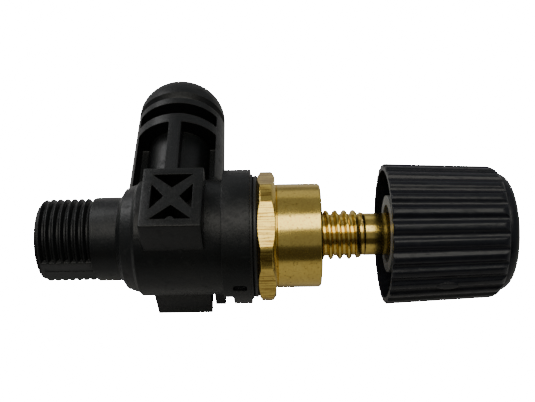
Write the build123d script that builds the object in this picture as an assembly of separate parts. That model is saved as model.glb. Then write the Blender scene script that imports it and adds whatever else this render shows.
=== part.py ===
from build123d import *
import math
import os

# Angle-pattern flow control valve: moulded body, brass bonnet, rising stem and fluted knob.
# Frame: +X is the valve axis from the inlet to the knob, +Y is the outlet branch and +Z is the
# normal of the upper wrench pad. The origin is the centre of the inlet bore at the inlet end face.
# All sizes are in millimetres. Threads are drawn as one V-shaped ring per pitch.

# ---- fits -----------------------------------------------------------------------------------
RUNNING_CLEARANCE = 0.05      # radial, stem in its seal bore and in its seals
THREAD_CLEARANCE = 0.10       # radial, male crests inside the plain bore that stands for a female thread
SLIP_CLEARANCE = 0.15         # radial, pieces of one body that are dropped into each other

# ---- inlet spigot ---------------------------------------------------------------------------
INLET_THREAD_RADIUS = 10.5
INLET_THREAD_PITCH = 1.814
INLET_THREAD_DEPTH = 1.10
INLET_THREAD_TURNS = 7
INLET_LEAD_IN = 1.2
INLET_BORE_RADIUS = 6.0
PARTING_FLAT_HALF_ANGLE = 19.5    # degrees either side of the mould line that carry no thread
NECK_RADIUS = 10.7
NECK_LENGTH = 6.6

# ---- body barrel ----------------------------------------------------------------------------
BARREL_RADIUS = 14.7
BARREL_LENGTH = 21.4
SHOULDER_RADIUS = 12.9
SHOULDER_RISE = 1.4           # along X, from the neck up to the shoulder's foot
SHOULDER_LENGTH = 3.2
SHOULDER_STEP = 0.4
FLANGE_RADIUS = 17.15
FLANGE_THICKNESS = 6.8
FLANGE_EDGE = 0.3
CHAMBER_RADIUS = 10.2
SEAT_POCKET_RADIUS = 8.5
SEAT_POCKET_LENGTH = 4.0
CHAMBER_INSET = 2.4           # from the start of the barrel to the start of the plug chamber
CHAMBER_GAP = 1.7             # from the end of the plug chamber to the end of the bonnet's spigot
BONNET_THREAD_RADIUS = 12.0
BONNET_THREAD_PITCH = 1.5
BONNET_THREAD_DEPTH = 0.85

# ---- flange recesses ------------------------------------------------------------------------
KEY_NOTCH_WIDTH = 17.0
KEY_NOTCH_LENGTH = 2.3
KEY_NOTCH_DEPTH = 1.9
KEY_NOTCH_ANGLE = 214.0       # degrees about +X from +Y
GATE_RECESS_WIDTH = 1.6
GATE_RECESS_LENGTH = 3.8
GATE_RECESS_DEPTH = 1.0
GATE_RECESS_ANGLE = 174.0

# ---- wrench pads ----------------------------------------------------------------------------
PAD_HEIGHT = 19.2
PAD_INSET = 2.65              # from the start of the barrel to the pad
PAD_WIDTH = 14.6
PAD_LOW_EDGE = -11.0
PAD_DEPTH = 17.9
PAD_CORNER = 0.5
PAD_SIDE_BORDER = 2.35
PAD_END_BORDER = 2.15
PAD_END_POCKET = (8.7, 3.7)   # base and height of the triangles at the window's two ends
PAD_SIDE_POCKET = (6.8, 2.7)  # base and height of the triangles at the window's two sides
PAD_POCKET_FLOOR = 13.4
PAD_PIP_RADIUS = 1.0
LUG_LENGTH = 2.8
LUG_WIDTH = 6.0
LUG_REACH = 15.9

# ---- outlet branch --------------------------------------------------------------------------
BRANCH_INSET = 8.1            # from the start of the barrel to the branch's axis
BRANCH_RADIUS = 12.3
BRANCH_FOOT_RADIUS = 13.0     # radius that the taper would reach on the valve axis
BRANCH_WALL = 1.8
BRANCH_WEB = 2.0
OUTLET_TUBE_RADIUS = 8.5
OUTLET_BORE_RADIUS = 5.5
LOWER_RING = (29.6, 32.6)
UPPER_RING = (36.7, 38.8)
TOP_GROOVE = (38.8, 40.7)
TOP_GROOVE_DEPTH = 1.1
NOSE_START = 42.0
NOSE_HEIGHT = 10.45
RIB_WIDTH = 3.3

# ---- seat -----------------------------------------------------------------------------------
SEAT_BORE_RADIUS = 5.4
SEAT_LIP = 0.8
SEAT_LIP_WIDTH = 1.1
SEAT_RING_SECTION = 1.6

# ---- bonnet ---------------------------------------------------------------------------------
GASKET_THICKNESS = 0.5
GASKET_RADIUS = 15.9
BONNET_RING_SECTION = 1.3
BONNET_RING_RADIUS = 15.6
HEX_ACROSS_FLATS = 30.9
HEX_CORNER_RADIUS = 16.5
HEX_THICKNESS = 4.4
HEX_CHAMFER = 1.0
HEX_TURN = 117.0              # degrees about +X from +Y to the normal of one flat
COLLAR_RADIUS = 13.27
COLLAR_LENGTH = 11.3
COLLAR_CHAMFER = 0.6
SPIGOT_LENGTH = 9.6
SPIGOT_NECK_STEP = 1.0        # how far the spigot's plain neck lies below its thread crests
PLUG_RECESS_RADIUS = 9.0
PLUG_RECESS_LENGTH = 5.0
SEAL_BORE_LENGTH = 7.2
STEM_RING_SECTION = 2.0
BACKUP_RING_THICKNESS = 0.8
GLAND_LAND = 0.8

# ---- stem -----------------------------------------------------------------------------------
STEM_THREAD_RADIUS = 6.35
STEM_THREAD_PITCH = 2.309
STEM_THREAD_DEPTH = 1.25
STEM_THREAD_RELIEF = 0.7      # room left before the thread when the valve is closed
STEM_THREAD_TURNS = 7
STEM_RUN_OUT = 2.4
STEM_SEAL_RADIUS = 5.0
STEM_SHANK_RADIUS = 5.4
STEM_SQUARE = 7.4
STEM_SQUARE_INSET = 8.7       # from the insert's face to the start of the square
STEM_SQUARE_LENGTH = 9.0
STEM_BUTTON_RADIUS = 3.6
STEM_BUTTON_LENGTH = 2.0
STEM_NECK_RADIUS = 2.4
STEM_NECK_LENGTH = 2.1

# ---- travel, counted from the half-open rest place ------------------------------------------
LIFT_AT_REST = 5.0            # gap between the seat lip and the plug washer
LIFT_TO_STOP = 3.0            # from rest to the full-open stop
CLOSED_GAP = 0.05
STOP_CLIP_THICKNESS = 1.2
STOP_CLIP_RADIUS = 7.0
STOP_CLIP_GROOVE_RADIUS = 4.0

# ---- plug -----------------------------------------------------------------------------------
PLUG_RADIUS = 8.4
PLUG_WASHER_RADIUS = 7.4
PLUG_WASHER_THICKNESS = 3.0
PLUG_CUP_DEPTH = 2.2
PLUG_BASE = 3.2
PLUG_SOCKET_RADIUS = 5.6
PLUG_SOCKET_LENGTH = 3.8
PLUG_PLATE_RADIUS = 4.0
PLUG_PLATE_THICKNESS = 0.6
PLUG_SCREW_RADIUS = 1.5
PLUG_SCREW_LENGTH = 5.6
PLUG_SCREW_HEAD_RADIUS = 2.8
PLUG_SCREW_HEAD_HEIGHT = 1.0
SWIVEL_CLIP_THICKNESS = 0.8
SWIVEL_CLIP_RADIUS = 4.6

# ---- knob -----------------------------------------------------------------------------------
KNOB_GAP = 16.1               # at rest, from the bonnet's collar to the knob's rim
KNOB_LENGTH = 29.1
KNOB_RIM_RADIUS = 17.95
KNOB_SHOULDER_RADIUS = 16.65
KNOB_SHOULDER_ROUND = 2.4
KNOB_WALL = 1.6
KNOB_BOSS_RADIUS = 12.0
KNOB_BOSS_LENGTH = 13.0
KNOB_END_WALL = 2.4
FLUTE_COUNT = 28
FLUTE_RADIUS = 1.1
FLUTE_DEPTH = 0.75
KNOB_RIB_COUNT = 6
KNOB_RIB_WIDTH = 1.4
KNOB_RIB_LENGTH = 10.0
CAP_RADIUS = 14.8
CAP_RIM_LENGTH = 3.4
CAP_CROWN = 2.7
CAP_CROWN_RISE = 0.5          # how far the middle of the crown stands above its rounded edge
CAP_WALL = 1.5
INSERT_RADIUS = 9.8
INSERT_INSET = 0.9            # from the knob's rim to the insert's face
INSERT_LENGTH = 21.2
INSERT_RECESS_RADIUS = 7.4
INSERT_RECESS_DEPTH = 1.8
STAR_WASHER_RADIUS = 7.2
STAR_WASHER_THICKNESS = 0.7
STAR_TOOTH_COUNT = 6
KNOB_SCREW_RADIUS = 2.4
KNOB_SCREW_LENGTH = 11.0
KNOB_SCREW_HEAD_RADIUS = 4.4
KNOB_SCREW_HEAD_HEIGHT = 2.6
KNOB_SCREW_WASHER_RADIUS = 5.4
KNOB_SCREW_WASHER_THICKNESS = 1.0

# ---- places that follow from the sizes above --------------------------------------------------
INLET_THREAD_END = INLET_LEAD_IN + INLET_THREAD_TURNS * INLET_THREAD_PITCH
NECK_END = INLET_THREAD_END + NECK_LENGTH
SHOULDER_START = NECK_END + SHOULDER_RISE
BARREL_START = SHOULDER_START + SHOULDER_LENGTH
BARREL_END = BARREL_START + BARREL_LENGTH
FLANGE_END = BARREL_END + FLANGE_THICKNESS
PAD_START = BARREL_START + PAD_INSET
BRANCH_PLACE = BARREL_START + BRANCH_INSET
CHAMBER_START = BARREL_START + CHAMBER_INSET
SEAT_POCKET_START = CHAMBER_START - SEAT_POCKET_LENGTH
SEAT_FACE = CHAMBER_START + SEAT_LIP
GASKET_END = FLANGE_END + GASKET_THICKNESS
HEX_START = GASKET_END + BONNET_RING_SECTION
HEX_END = HEX_START + HEX_THICKNESS
COLLAR_END = HEX_END + COLLAR_LENGTH
SPIGOT_START = HEX_START - SPIGOT_LENGTH
SPIGOT_NECK_RADIUS = BONNET_THREAD_RADIUS - SPIGOT_NECK_STEP
CHAMBER_END = SPIGOT_START - CHAMBER_GAP
PLUG_RECESS_END = SPIGOT_START + PLUG_RECESS_LENGTH
SEAL_BORE_END = PLUG_RECESS_END + SEAL_BORE_LENGTH
SEAL_BORE_RADIUS = STEM_SEAL_RADIUS + RUNNING_CLEARANCE
GLAND_RADIUS = SEAL_BORE_RADIUS + STEM_RING_SECTION
INNER_GLAND_START = PLUG_RECESS_END + GLAND_LAND
INNER_GLAND_END = INNER_GLAND_START + STEM_RING_SECTION + BACKUP_RING_THICKNESS
OUTER_GLAND_START = INNER_GLAND_END + GLAND_LAND
OUTER_GLAND_END = OUTER_GLAND_START + STEM_RING_SECTION
PLUG_FACE = SEAT_FACE + LIFT_AT_REST + CLOSED_GAP
PLUG_CUP_START = PLUG_FACE + PLUG_WASHER_THICKNESS - PLUG_CUP_DEPTH
PLUG_CUP_FLOOR = PLUG_FACE + PLUG_WASHER_THICKNESS
PLUG_BASE_END = PLUG_CUP_FLOOR + PLUG_BASE
PLUG_SOCKET_END = PLUG_BASE_END + PLUG_SOCKET_LENGTH
STEM_START = PLUG_BASE_END + SLIP_CLEARANCE
STEM_NECK_START = STEM_START + STEM_BUTTON_LENGTH
STEM_LAND_START = STEM_NECK_START + STEM_NECK_LENGTH
SWIVEL_CLIP_START = STEM_NECK_START + SLIP_CLEARANCE
STOP_CLIP_END = PLUG_RECESS_END - LIFT_TO_STOP - CLOSED_GAP
STOP_CLIP_START = STOP_CLIP_END - STOP_CLIP_THICKNESS
STEM_THREAD_START = SEAL_BORE_END + LIFT_AT_REST + STEM_THREAD_RELIEF
STEM_THREAD_END = STEM_THREAD_START + STEM_THREAD_TURNS * STEM_THREAD_PITCH
KNOB_RIM = COLLAR_END + KNOB_GAP
KNOB_SHOULDER = KNOB_RIM + KNOB_LENGTH
CAP_SEAT = KNOB_SHOULDER - CAP_RIM_LENGTH
END_WALL_START = CAP_SEAT - KNOB_END_WALL
KNOB_BOSS_START = END_WALL_START - KNOB_BOSS_LENGTH
KNOB_RIB_START = END_WALL_START - KNOB_RIB_LENGTH
INSERT_START = KNOB_RIM + INSERT_INSET
INSERT_END = INSERT_START + INSERT_LENGTH
STEM_SQUARE_START = INSERT_START + STEM_SQUARE_INSET
STEM_END = STEM_SQUARE_START + STEM_SQUARE_LENGTH
KNOB_SCREW_HEAD_START = INSERT_END + KNOB_SCREW_WASHER_THICKNESS
THREAD_FLANK = math.tan(math.radians(27.5))


# ---- shared ways of making a shape ------------------------------------------------------------
def turned(outline):
    """Solid of revolution about +X from a closed outline of (x, radius) points."""
    return revolve(make_face(Polyline(*outline, close=True)), Axis.X)


def bar(start, end, radius):
    """Round bar along +X."""
    return Pos((start + end) / 2, 0, 0) * Rot(0, 90, 0) * Cylinder(radius, end - start)


def ring(start, end, inner, outer):
    """Flat ring about +X."""
    return bar(start, end, outer) - bar(start, end, inner)


def block(low, high):
    """Box between two opposite corners."""
    size = [h - l for l, h in zip(low, high)]
    middle = [(l + h) / 2 for l, h in zip(low, high)]
    return Pos(*middle) * Box(*size)


def branch_bar(start, end, radius):
    """Round bar along the outlet branch."""
    return Pos(BRANCH_PLACE, 0, 0) * Rot(0, 0, 90) * bar(start, end, radius)


def o_ring(start, section, outer):
    """Rubber ring about +X with a round section, lying just inside the given outer radius."""
    middle = Pos(start + section / 2, 0, 0) * Rot(0, 90, 0)
    return middle * Torus(outer - section / 2, section / 2)


def thread_outline(start, turns, crest_radius, pitch, depth):
    """Outline points of a number of whole thread rings."""
    flank = depth * THREAD_FLANK
    flat = pitch / 2 - flank
    points = []
    for turn in range(turns):
        place = start + turn * pitch
        points += [
            (place, crest_radius),
            (place + flat, crest_radius),
            (place + flat + flank, crest_radius - depth),
            (place + 2 * flat + flank, crest_radius - depth),
        ]
    return points + [(place + pitch, crest_radius)]


def split_clip(start, end, inner, outer):
    """Spring clip about +X: a flat ring with a slot that lets it push on sideways."""
    slot = block((start - 1, 0, -inner * 0.8), (end + 1, 2 * outer, inner * 0.8))
    return ring(start, end, inner, outer) - slot


# ---- valve body -------------------------------------------------------------------------------
def inlet_spigot():
    """Male thread with a bevelled start and a plain strip along each mould line."""
    threads = thread_outline(
        INLET_LEAD_IN, INLET_THREAD_TURNS, INLET_THREAD_RADIUS, INLET_THREAD_PITCH, INLET_THREAD_DEPTH
    )
    root = INLET_THREAD_RADIUS - INLET_THREAD_DEPTH
    outline = [(0, 0), (0, root)] + threads + [(INLET_THREAD_END, 0)]
    half_angle = math.radians(PARTING_FLAT_HALF_ANGLE)
    flat_height = INLET_THREAD_RADIUS * math.cos(half_angle)
    flat_half_width = INLET_THREAD_RADIUS * math.sin(half_angle)
    spigot = turned(outline)
    for side in (-1, 1):
        beyond = sorted((side * flat_height, side * 2 * flat_height))
        strip = sorted((side * root * 0.9, side * flat_height))
        spigot -= block((-1, beyond[0], -flat_half_width), (INLET_THREAD_END, beyond[1], flat_half_width))
        spigot += block(
            (INLET_LEAD_IN, strip[0], -flat_half_width), (INLET_THREAD_END, strip[1], flat_half_width)
        )
    return spigot


def barrel():
    """Neck, shoulder, barrel and flange, turned in one outline."""
    step_radius = BARREL_RADIUS - SHOULDER_STEP
    return turned([
        (INLET_THREAD_END, 0),
        (INLET_THREAD_END, NECK_RADIUS),
        (NECK_END, NECK_RADIUS),
        (SHOULDER_START, SHOULDER_RADIUS),
        (BARREL_START - SHOULDER_STEP, step_radius - SHOULDER_STEP),
        (BARREL_START, step_radius),
        (BARREL_START + SHOULDER_STEP, BARREL_RADIUS),
        (BARREL_END, BARREL_RADIUS),
        (BARREL_END, FLANGE_RADIUS - FLANGE_EDGE),
        (BARREL_END + FLANGE_EDGE, FLANGE_RADIUS),
        (FLANGE_END - FLANGE_EDGE, FLANGE_RADIUS),
        (FLANGE_END, FLANGE_RADIUS - FLANGE_EDGE),
        (FLANGE_END, 0),
    ])


def flange_recess(angle, start, length, width, depth):
    """Cutter for a square recess in the flange's rim at an angle about +X from +Y."""
    cutter = block(
        (start, FLANGE_RADIUS - depth, -width / 2), (start + length, FLANGE_RADIUS + 1, width / 2)
    )
    return Rot(angle, 0, 0) * cutter


def pad_pocket(turn, reach, base, height):
    """Triangular cutter whose base lies at a distance from the pad's middle, turned about +Z."""
    triangle = make_face(Polyline((reach, -base / 2), (reach - height, 0), (reach, base / 2), close=True))
    middle = Pos(PAD_START + PAD_WIDTH / 2, PAD_LOW_EDGE + PAD_DEPTH / 2, PAD_POCKET_FLOOR)
    return middle * Rot(0, 0, turn) * extrude(triangle, PAD_HEIGHT)


def wrench_pad():
    """Square pad on +Z, cored from above to four triangular pockets between crossed bars."""
    pad = block((PAD_START, PAD_LOW_EDGE, 0), (PAD_START + PAD_WIDTH, PAD_LOW_EDGE + PAD_DEPTH, PAD_HEIGHT))
    pad = fillet(pad.edges().filter_by(Axis.Z), PAD_CORNER)
    for turn in (0, 180):
        pad -= pad_pocket(turn, PAD_WIDTH / 2 - PAD_SIDE_BORDER, *PAD_SIDE_POCKET)
        pad -= pad_pocket(turn + 90, PAD_DEPTH / 2 - PAD_END_BORDER, *PAD_END_POCKET)
    pip = Cylinder(PAD_PIP_RADIUS, PAD_HEIGHT, align=(Align.CENTER, Align.CENTER, Align.MIN))
    return pad + Pos(PAD_START + PAD_WIDTH / 2, PAD_LOW_EDGE + PAD_END_BORDER, 0) * pip


def branch_pockets(side):
    """Cutters for the cored hollows of the branch on one side of its mould plane."""
    low, high = sorted((side * BRANCH_WEB / 2, side * 2 * BRANCH_RADIUS))
    reach = BRANCH_RADIUS - BRANCH_WALL

    def across(start, end):
        return block((BRANCH_PLACE - reach, start, low), (BRANCH_PLACE + reach, end, high))

    rib_start, rib_end = BRANCH_PLACE - RIB_WIDTH / 2, BRANCH_PLACE + RIB_WIDTH / 2
    long_pocket = across(0, LOWER_RING[0]) - block((rib_start, 0, low), (rib_end, LOWER_RING[0], high))
    short_pocket = across(LOWER_RING[1], UPPER_RING[0])
    tube = branch_bar(0, NOSE_START, OUTLET_TUBE_RADIUS)
    shallow = across(*TOP_GROOVE) - branch_bar(*TOP_GROOVE, BRANCH_RADIUS - TOP_GROOVE_DEPTH)
    return [long_pocket - tube, short_pocket - tube, shallow]


def outlet_branch():
    """Round branch with a bull nose, cored between its rings down to the outlet tube."""
    nose = NOSE_START + NOSE_HEIGHT
    straight = Polyline((NOSE_START, BRANCH_RADIUS), (0, BRANCH_FOOT_RADIUS), (0, 0), (nose, 0))
    crown = EllipticalCenterArc((NOSE_START, 0), NOSE_HEIGHT, BRANCH_RADIUS, 0, arc_size=90)
    solid = revolve(make_face([straight, crown]), Axis.X)
    solid = Pos(BRANCH_PLACE, 0, 0) * Rot(0, 0, 90) * solid
    for side in (-1, 1):
        for pocket in branch_pockets(side):
            solid -= pocket
    return solid


def valve_body():
    """Moulded body with its two wrench pads, its outlet branch and its stepped bore."""
    body = inlet_spigot() + barrel() + outlet_branch()
    body += wrench_pad()
    body += mirror(wrench_pad(), Plane.XY)
    lug_start = BARREL_END - LUG_LENGTH - SHOULDER_STEP
    lug_edge = PAD_LOW_EDGE + PAD_CORNER
    body += block((lug_start, lug_edge, -LUG_REACH), (lug_start + LUG_LENGTH, lug_edge + LUG_WIDTH, 0))
    body -= flange_recess(KEY_NOTCH_ANGLE, BARREL_END, KEY_NOTCH_LENGTH, KEY_NOTCH_WIDTH, KEY_NOTCH_DEPTH)
    gate_start = FLANGE_END - FLANGE_EDGE - GATE_RECESS_LENGTH - FLANGE_EDGE
    body -= flange_recess(
        GATE_RECESS_ANGLE, gate_start, GATE_RECESS_LENGTH, GATE_RECESS_WIDTH, GATE_RECESS_DEPTH
    )
    bonnet_bore = BONNET_THREAD_RADIUS + THREAD_CLEARANCE
    body -= bar(-1, SEAT_POCKET_START, INLET_BORE_RADIUS)
    body -= bar(SEAT_POCKET_START, CHAMBER_START, SEAT_POCKET_RADIUS)
    body -= bar(CHAMBER_START, CHAMBER_END, CHAMBER_RADIUS)
    body -= bar(CHAMBER_END, FLANGE_END + 1, bonnet_bore)
    body -= branch_bar(0, 2 * NOSE_START, OUTLET_BORE_RADIUS)
    return body


# ---- seat -------------------------------------------------------------------------------------
def seat_insert():
    """Brass seat pressed into the body, with a raised lip towards the plug."""
    sleeve = SEAT_POCKET_RADIUS - SEAT_RING_SECTION
    lip = SEAT_BORE_RADIUS + SEAT_LIP_WIDTH
    shoulder = SEAT_POCKET_START + SEAT_RING_SECTION
    return turned([
        (SEAT_POCKET_START, SEAT_BORE_RADIUS),
        (SEAT_POCKET_START, sleeve),
        (shoulder, sleeve),
        (shoulder, SEAT_POCKET_RADIUS),
        (CHAMBER_START, SEAT_POCKET_RADIUS),
        (CHAMBER_START, lip),
        (SEAT_FACE, lip - SEAT_LIP_WIDTH / 3),
        (SEAT_FACE, SEAT_BORE_RADIUS + SEAT_LIP_WIDTH / 3),
        (CHAMBER_START, SEAT_BORE_RADIUS),
    ])


# ---- bonnet -----------------------------------------------------------------------------------
def hexagon():
    """Hexagon of the bonnet with both ends of its corners turned off to a cone."""
    prism = extrude(Plane.YZ * RegularPolygon(HEX_ACROSS_FLATS / 2, 6, major_radius=False), HEX_THICKNESS)
    low_edge = HEX_CORNER_RADIUS - HEX_CHAMFER
    turning = turned([
        (HEX_START, 0),
        (HEX_START, low_edge),
        (HEX_START + HEX_CHAMFER, HEX_CORNER_RADIUS),
        (HEX_END - HEX_CHAMFER, HEX_CORNER_RADIUS),
        (HEX_END, low_edge),
        (HEX_END, 0),
    ])
    return (Pos(HEX_START, 0, 0) * Rot(HEX_TURN - 90, 0, 0) * prism) & turning


def bonnet():
    """Brass bonnet: threaded spigot, hexagon, collar, stem seal glands and stem thread bore."""
    thread_start = SPIGOT_START + BONNET_THREAD_DEPTH
    turns = int((FLANGE_END - thread_start) / BONNET_THREAD_PITCH) - 1
    threads = thread_outline(
        thread_start, turns, BONNET_THREAD_RADIUS, BONNET_THREAD_PITCH, BONNET_THREAD_DEPTH
    )
    thread_end = threads[-1][0]
    outline = [(SPIGOT_START, 0), (SPIGOT_START, BONNET_THREAD_RADIUS - BONNET_THREAD_DEPTH)] + threads
    outline += [
        (thread_end, SPIGOT_NECK_RADIUS),
        (HEX_END, SPIGOT_NECK_RADIUS),
        (HEX_END, COLLAR_RADIUS),
        (COLLAR_END - COLLAR_CHAMFER, COLLAR_RADIUS),
        (COLLAR_END, COLLAR_RADIUS - COLLAR_CHAMFER),
        (COLLAR_END, 0),
    ]
    solid = turned(outline) + hexagon()
    solid -= bar(SPIGOT_START - 1, PLUG_RECESS_END, PLUG_RECESS_RADIUS)
    solid -= bar(PLUG_RECESS_END, SEAL_BORE_END, SEAL_BORE_RADIUS)
    solid -= bar(INNER_GLAND_START, INNER_GLAND_END, GLAND_RADIUS)
    solid -= bar(OUTER_GLAND_START, OUTER_GLAND_END, GLAND_RADIUS)
    thread_bore = STEM_THREAD_RADIUS + THREAD_CLEARANCE
    mouth = COLLAR_END - COLLAR_CHAMFER
    solid -= turned([
        (SEAL_BORE_END, 0),
        (SEAL_BORE_END, thread_bore),
        (mouth, thread_bore),
        (COLLAR_END, thread_bore + COLLAR_CHAMFER),
        (COLLAR_END, 0),
    ])
    return solid


def backup_ring():
    """Stiff ring that stops the inner stem seal from extruding."""
    start = INNER_GLAND_START + STEM_RING_SECTION
    return ring(start, INNER_GLAND_END, SEAL_BORE_RADIUS, GLAND_RADIUS)


# ---- plug -------------------------------------------------------------------------------------
def plug_carrier():
    """Cup that holds the plug washer, with a socket that swivels on the stem's button."""
    screw_hole = bar(PLUG_CUP_FLOOR - 1, PLUG_BASE_END + 1, PLUG_SCREW_RADIUS)
    cup = turned([
        (PLUG_CUP_START, 0),
        (PLUG_CUP_START, PLUG_RADIUS),
        (PLUG_BASE_END - 1, PLUG_RADIUS),
        (PLUG_BASE_END, PLUG_RADIUS - 1),
        (PLUG_BASE_END, PLUG_SOCKET_RADIUS),
        (PLUG_SOCKET_END, PLUG_SOCKET_RADIUS),
        (PLUG_SOCKET_END, 0),
    ])
    cup -= bar(PLUG_CUP_START - 1, PLUG_CUP_FLOOR, PLUG_WASHER_RADIUS)
    cup -= bar(PLUG_BASE_END, PLUG_SOCKET_END + 1, STEM_BUTTON_RADIUS + RUNNING_CLEARANCE)
    clip_end = SWIVEL_CLIP_START + SWIVEL_CLIP_THICKNESS
    cup -= bar(SWIVEL_CLIP_START, clip_end, SWIVEL_CLIP_RADIUS)
    return cup - screw_hole


def plug_washer():
    """Rubber disc that closes on the seat lip."""
    inner = PLUG_SCREW_RADIUS
    return ring(PLUG_FACE, PLUG_CUP_FLOOR, inner, PLUG_WASHER_RADIUS) - bar(
        PLUG_FACE - 1, PLUG_FACE + PLUG_PLATE_THICKNESS, PLUG_PLATE_RADIUS
    )


def plug_washer_plate():
    """Thin metal plate that spreads the screw's load over the rubber disc."""
    return ring(PLUG_FACE, PLUG_FACE + PLUG_PLATE_THICKNESS, PLUG_SCREW_RADIUS, PLUG_PLATE_RADIUS)


def plug_screw():
    """Pan-head screw with a straight slot that holds the disc in its cup."""
    head_start = PLUG_FACE - PLUG_SCREW_HEAD_HEIGHT
    head = bar(head_start, PLUG_FACE, PLUG_SCREW_HEAD_RADIUS)
    slot_reach = 2 * PLUG_SCREW_HEAD_RADIUS
    slot = block((head_start - 1, -0.4, -slot_reach), (head_start + 0.5, 0.4, slot_reach))
    return head + bar(PLUG_FACE, PLUG_FACE + PLUG_SCREW_LENGTH, PLUG_SCREW_RADIUS) - slot


# ---- stem -------------------------------------------------------------------------------------
def stem():
    """Rising brass stem: swivel button, seal land, thread, shank and square drive."""
    threads = thread_outline(
        STEM_THREAD_START, STEM_THREAD_TURNS, STEM_THREAD_RADIUS, STEM_THREAD_PITCH, STEM_THREAD_DEPTH
    )
    outline = [
        (STEM_START, 0),
        (STEM_START, STEM_BUTTON_RADIUS),
        (STEM_NECK_START, STEM_BUTTON_RADIUS),
        (STEM_NECK_START, STEM_NECK_RADIUS),
        (STEM_LAND_START, STEM_NECK_RADIUS),
        (STEM_LAND_START, STEM_SEAL_RADIUS),
        (STOP_CLIP_START, STEM_SEAL_RADIUS),
        (STOP_CLIP_START, STOP_CLIP_GROOVE_RADIUS),
        (STOP_CLIP_END, STOP_CLIP_GROOVE_RADIUS),
        (STOP_CLIP_END, STEM_SEAL_RADIUS),
        (STEM_THREAD_START, STEM_SEAL_RADIUS),
    ]
    outline += threads
    outline += [
        (STEM_THREAD_END + STEM_RUN_OUT, STEM_SHANK_RADIUS),
        (STEM_SQUARE_START, STEM_SHANK_RADIUS),
        (STEM_SQUARE_START, 0),
    ]
    half = STEM_SQUARE / 2
    square = block((STEM_SQUARE_START, -half, -half), (STEM_END, half, half))
    screw_end = KNOB_SCREW_HEAD_START - KNOB_SCREW_LENGTH
    return turned(outline) + square - bar(screw_end, STEM_END + 1, KNOB_SCREW_RADIUS)


# ---- knob -------------------------------------------------------------------------------------
def knob_wall_radius(place, inset):
    """Radius of the knob's tapered skirt at a place on the axis, less an inset."""
    fall = (KNOB_RIM_RADIUS - KNOB_SHOULDER_RADIUS) / KNOB_LENGTH
    return KNOB_RIM_RADIUS - fall * (place - KNOB_RIM) - inset


def flutes():
    """Cutters for the finger flutes, tilted to follow the skirt's taper."""
    taper = math.degrees(math.atan2(KNOB_RIM_RADIUS - KNOB_SHOULDER_RADIUS, KNOB_LENGTH))
    middle = (KNOB_RIM + KNOB_SHOULDER) / 2
    height = knob_wall_radius(middle, FLUTE_DEPTH) + FLUTE_RADIUS
    cutter = Pos(middle, 0, height) * Rot(0, 90 + taper, 0) * Cylinder(FLUTE_RADIUS, KNOB_LENGTH + 4)
    step = 360 / FLUTE_COUNT
    return [Rot(number * step, 0, 0) * cutter for number in range(FLUTE_COUNT)]


def knob_shell():
    """Moulded knob: fluted skirt, end wall, ribs and the boss around its insert."""
    round_start = KNOB_SHOULDER - KNOB_SHOULDER_ROUND
    solid = turned([
        (KNOB_RIM, 0),
        (KNOB_RIM, KNOB_RIM_RADIUS),
        (round_start, knob_wall_radius(round_start, 0)),
        (KNOB_SHOULDER - KNOB_SHOULDER_ROUND / 3, knob_wall_radius(KNOB_SHOULDER, KNOB_SHOULDER_ROUND / 3)),
        (KNOB_SHOULDER, CAP_RADIUS + SLIP_CLEARANCE),
        (KNOB_SHOULDER, 0),
    ])
    for cutter in flutes():
        solid -= cutter
    solid -= turned([
        (KNOB_RIM - 1, 0),
        (KNOB_RIM - 1, knob_wall_radius(KNOB_RIM - 1, KNOB_WALL)),
        (END_WALL_START, knob_wall_radius(END_WALL_START, KNOB_WALL)),
        (END_WALL_START, 0),
    ])
    solid += bar(KNOB_BOSS_START, END_WALL_START, KNOB_BOSS_RADIUS)
    for number in range(KNOB_RIB_COUNT):
        rib = block(
            (KNOB_RIB_START, 0, -KNOB_RIB_WIDTH / 2),
            (END_WALL_START, knob_wall_radius(END_WALL_START, KNOB_WALL / 2), KNOB_RIB_WIDTH / 2),
        )
        solid += Rot(number * 360 / KNOB_RIB_COUNT, 0, 0) * rib
    solid -= bar(KNOB_BOSS_START - 1, INSERT_END, INSERT_RADIUS)
    solid -= bar(INSERT_END, CAP_SEAT + 1, KNOB_SCREW_WASHER_RADIUS + SLIP_CLEARANCE)
    return solid - bar(CAP_SEAT, KNOB_SHOULDER + 1, CAP_RADIUS)


def knob_insert():
    """Metal insert in the knob's boss, broached square for the stem."""
    half = STEM_SQUARE / 2 + RUNNING_CLEARANCE
    solid = bar(INSERT_START, INSERT_END, INSERT_RADIUS)
    solid -= bar(INSERT_START - 1, INSERT_START + INSERT_RECESS_DEPTH, INSERT_RECESS_RADIUS)
    solid -= bar(INSERT_START, STEM_SQUARE_START, STEM_SHANK_RADIUS + SLIP_CLEARANCE)
    solid -= block((STEM_SQUARE_START, -half, -half), (STEM_END + SLIP_CLEARANCE, half, half))
    return solid - bar(STEM_END, INSERT_END + 1, KNOB_SCREW_RADIUS + SLIP_CLEARANCE)


def star_lock_washer():
    """Dark push-on washer whose inner teeth grip the stem's shank in the insert's recess."""
    start = INSERT_START + INSERT_RECESS_DEPTH - STAR_WASHER_THICKNESS
    end = start + STAR_WASHER_THICKNESS
    washer = ring(start, end, STEM_SHANK_RADIUS, STAR_WASHER_RADIUS)
    gap_place = STEM_SHANK_RADIUS + 0.2
    for number in range(STAR_TOOTH_COUNT):
        gap = Pos((start + end) / 2, gap_place, 0) * Rot(0, 90, 0) * Cylinder(1.0, 2 * STAR_WASHER_THICKNESS)
        washer -= Rot((number + 0.5) * 360 / STAR_TOOTH_COUNT, 0, 0) * gap
    return washer


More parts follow.
